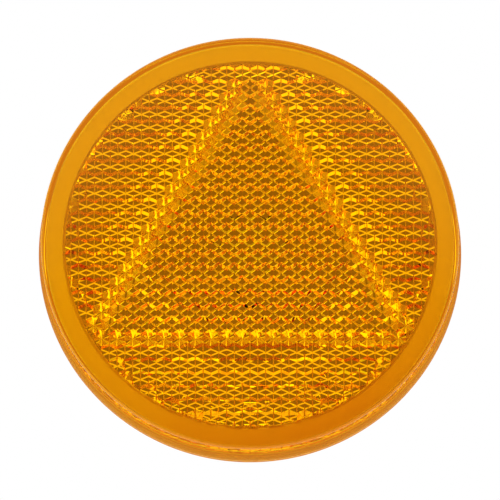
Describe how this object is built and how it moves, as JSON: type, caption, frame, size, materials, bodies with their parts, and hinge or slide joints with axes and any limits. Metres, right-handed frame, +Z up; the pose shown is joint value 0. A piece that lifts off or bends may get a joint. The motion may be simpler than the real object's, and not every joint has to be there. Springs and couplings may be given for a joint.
{
  "type": "reflex reflector",
  "caption": "Round amber reflex reflector: a prism lens with a central triangle, closed by a back plate, on a threaded stud with washers and nut.",
  "frame": {"origin": "where the stud's axis meets the rear mounting face", "axes": "+Z up, lens facing -Y, +Y back along the stud into the panel, +X to the right as the lens is looked at"},
  "size_m": [0.06, 0.024, 0.06],
  "materials": {
    "amber_acrylic": "clear moulded acrylic, polished face",
    "amber_abs": "moulded, fine satin",
    "seal_rubber": "matte",
    "zinc_plated_steel": "bright zinc plating",
    "spring_steel": "plain zinc-flake spring steel"
  },
  "bodies": {
    "reflector": {"lens": "amber_acrylic", "back_plate": "amber_abs", "stud_seal": "seal_rubber", "mounting_stud": "zinc_plated_steel"},
    "washers": {"flat_washer": "zinc_plated_steel", "spring_washer": "spring_steel"},
    "nut": {"hex_nut": "zinc_plated_steel"}
  },
  "joints": [
    {"name": "nut_travel", "type": "slide", "parent": "reflector", "child": "washers", "axis": [0, 1, 0], "range_m": [-0.0006, 0.0064]},
    {"name": "nut_spin", "type": "hinge", "parent": "washers", "child": "nut", "pos_m": [0, 0, 0], "axis": [0, 1, 0], "range_deg": [-270, 2880]}
  ],
  "couplings": [
    {"joint": "nut_spin", "follows": "nut_travel", "rad_per_m": 7854}
  ]
}
